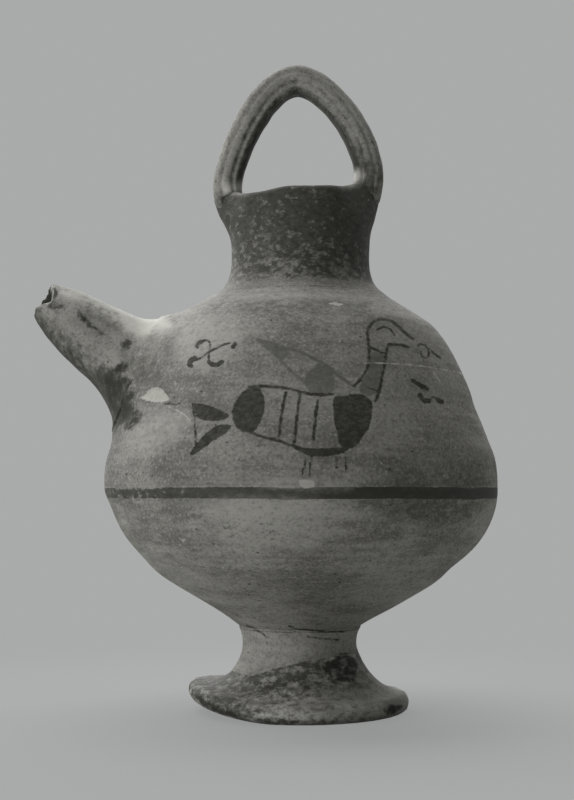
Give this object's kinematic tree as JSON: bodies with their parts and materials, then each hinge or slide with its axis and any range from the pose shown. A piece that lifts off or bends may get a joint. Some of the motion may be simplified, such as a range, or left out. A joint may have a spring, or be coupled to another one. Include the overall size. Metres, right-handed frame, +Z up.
{
  "type": "spouted jug",
  "caption": "Footed round-bodied clay jug with a short side spout, a waisted neck and a basket handle over its mouth; painted bird on the shoulder.",
  "frame": {"origin": "middle of the foot, on the plane it rests on", "axes": "+Z up along the thrown body's axis; -X towards the spout; the handle's arch stands in the XZ plane"},
  "size_m": [0.1695, 0.1432, 0.2349],
  "materials": {
    "fired_clay": "matt, burnished",
    "painted_clay": "matt, worn paint",
    "luting_slip": "matt",
    "mend_fill": "matt"
  },
  "bodies": {
    "root": {"foot_stem": "fired_clay", "lower_body": "fired_clay", "upper_body": "fired_clay", "spout": "fired_clay", "foot_plate": "painted_clay", "neck": "painted_clay", "handle": "painted_clay", "stem_luting": "luting_slip", "belly_luting": "luting_slip", "spout_luting": "luting_slip", "neck_luting": "luting_slip", "handle_luting_left": "luting_slip", "handle_luting_right": "luting_slip", "foot_mend": "mend_fill"}
  },
  "joints": []
}
